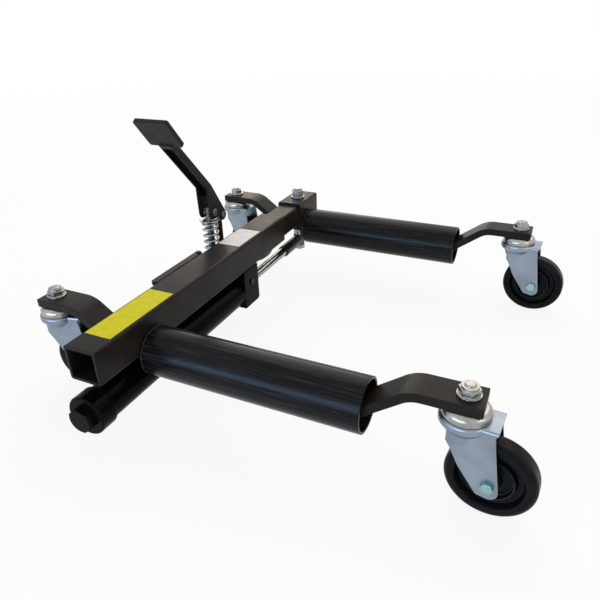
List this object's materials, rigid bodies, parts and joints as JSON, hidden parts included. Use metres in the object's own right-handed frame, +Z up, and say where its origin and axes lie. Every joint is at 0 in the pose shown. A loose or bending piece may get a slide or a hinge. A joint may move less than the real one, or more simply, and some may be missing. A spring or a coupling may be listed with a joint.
{
  "type": "vehicle positioning jack",
  "caption": "Low wheel dolly with foot pump: a telescoping beam draws rollers together under a tyre; bent flat arms carry swivel casters.",
  "frame": {"origin": "on the floor, under the middle of the trolley's outline", "axes": "+X along the rollers towards their open ends, +Y along the beam towards the far roller, +Z up"},
  "size_m": [0.702, 0.687, 0.3754],
  "materials": {
    "black_paint": "satin powder coat",
    "black_gloss": "gloss enamel",
    "roller_black": "gloss enamel with fine lengthwise streaks",
    "caution_yellow": "plain printed film",
    "label_white": "plain printed film",
    "bare_steel": "turned",
    "zinc": "bright zinc plate",
    "fork_zinc": "bright zinc plate on pressed steel",
    "chrome": "hard chrome",
    "spring_steel": "zinc-plated wire",
    "black_oxide": "black oxide",
    "seal_rubber": "moulded",
    "nylon": "moulded nylon",
    "wheel_rubber": "hard moulded rubber, semi gloss"
  },
  "bodies": {
    "frame": {"beam_tube": "black_paint", "near_sticker": "caution_yellow", "far_sticker": "label_white", "near_arm": "black_paint", "near_journals": "bare_steel", "near_races": "zinc", "near_kingpins": "zinc", "near_nuts": "zinc", "ram_barrel": "black_paint", "ram_cap": "black_gloss", "ram_plug": "black_gloss", "ram_block": "black_paint", "block_bolts": "black_oxide", "side_screw": "black_oxide", "rod_gland": "zinc", "pump_body": "black_paint", "lever_post": "black_paint", "pivot_pin": "zinc"},
    "slider": {"inner_tube": "black_paint", "end_box": "black_paint", "box_bolt": "zinc", "box_nut": "zinc", "ram_rod": "chrome", "rod_end": "black_oxide", "ram_piston": "bare_steel", "piston_seal": "seal_rubber", "far_arm": "black_paint", "far_journals": "bare_steel", "far_races": "zinc", "far_kingpins": "zinc", "far_nuts": "zinc"},
    "near_roller_body": {"near_roller": "roller_black", "near_bushes": "nylon"},
    "far_roller_body": {"far_roller": "roller_black", "far_bushes": "nylon"},
    "nf_swivel_body": {"nf_fork": "fork_zinc", "nf_balls": "bare_steel", "nf_axle": "zinc"},
    "nf_wheel_body": {"nf_wheel": "wheel_rubber"},
    "nr_swivel_body": {"nr_fork": "fork_zinc", "nr_balls": "bare_steel", "nr_axle": "zinc"},
    "nr_wheel_body": {"nr_wheel": "wheel_rubber"},
    "ff_swivel_body": {"ff_fork": "fork_zinc", "ff_balls": "bare_steel", "ff_axle": "zinc"},
    "ff_wheel_body": {"ff_wheel": "wheel_rubber"},
    "fr_swivel_body": {"fr_fork": "fork_zinc", "fr_balls": "bare_steel", "fr_axle": "zinc"},
    "fr_wheel_body": {"fr_wheel": "wheel_rubber"},
    "lever": {"pedal_lever": "black_paint"},
    "plunger_body": {"plunger_pin": "zinc", "plunger": "chrome", "spring_seat": "zinc", "return_spring": "spring_steel"},
    "release": {"release_lever": "black_paint", "release_spindle": "black_oxide"}
  },
  "joints": [
    {"name": "ram_slide", "type": "slide", "parent": "frame", "child": "slider", "axis": [0, 1, 0], "range_m": [-0.07, 0.08]},
    {"name": "near_roller_spin", "type": "hinge", "parent": "frame", "child": "near_roller_body", "pos_m": [0.00349, -0.2151, 0.0995], "axis": [1, 0, 0], "continuous": true},
    {"name": "far_roller_spin", "type": "hinge", "parent": "slider", "child": "far_roller_body", "pos_m": [0.00349, 0.2939, 0.0995], "axis": [1, 0, 0], "continuous": true},
    {"name": "nf_swivel", "type": "hinge", "parent": "frame", "child": "nf_swivel_body", "pos_m": [0.26469, -0.2151, 0.125], "axis": [0, 0, 1], "continuous": true},
    {"name": "nf_wheel_spin", "type": "hinge", "parent": "nf_swivel_body", "child": "nf_wheel_body", "pos_m": [0.2999, -0.21756, 0.0508], "axis": [0.0698, 0.9976, 0], "continuous": true},
    {"name": "nr_swivel", "type": "hinge", "parent": "frame", "child": "nr_swivel_body", "pos_m": [-0.32151, -0.2151, 0.125], "axis": [0, 0, 1], "continuous": true},
    {"name": "nr_wheel_spin", "type": "hinge", "parent": "nr_swivel_body", "child": "nr_wheel_body", "pos_m": [-0.28742, -0.20596, 0.0508], "axis": [-0.2588, 0.9659, 0], "continuous": true},
    {"name": "ff_swivel", "type": "hinge", "parent": "slider", "child": "ff_swivel_body", "pos_m": [0.26469, 0.2939, 0.125], "axis": [0, 0, 1], "continuous": true},
    {"name": "ff_wheel_spin", "type": "hinge", "parent": "ff_swivel_body", "child": "ff_wheel_body", "pos_m": [0.2999, 0.29144, 0.0508], "axis": [0.0698, 0.9976, 0], "continuous": true},
    {"name": "fr_swivel", "type": "hinge", "parent": "slider", "child": "fr_swivel_body", "pos_m": [-0.32151, 0.2939, 0.125], "axis": [0, 0, 1], "continuous": true},
    {"name": "fr_wheel_spin", "type": "hinge", "parent": "fr_swivel_body", "child": "fr_wheel_body", "pos_m": [-0.28648, 0.2896, 0.0508], "axis": [0.1219, 0.9925, 0], "continuous": true},
    {"name": "pedal_hinge", "type": "hinge", "parent": "frame", "child": "lever", "pos_m": [-0.22751, 0.0765, 0.188], "axis": [1, 0, 0], "range_deg": [0, 35], "stiffness_Nm_per_rad": 6, "springref_deg": -40.11},
    {"name": "plunger_slide", "type": "slide", "parent": "frame", "child": "plunger_body", "axis": [0, 0, 1], "range_m": [-0.0175, 0], "deforming": ["return_spring"]},
    {"name": "release_turn", "type": "hinge", "parent": "frame", "child": "release", "pos_m": [-0.21751, -0.0065, 0.143], "axis": [0, 0, -1], "range_deg": [0, 45]}
  ],
  "couplings": [
    {"joint": "plunger_slide", "follows": "pedal_hinge", "m_per_rad": -0.0285}
  ]
}
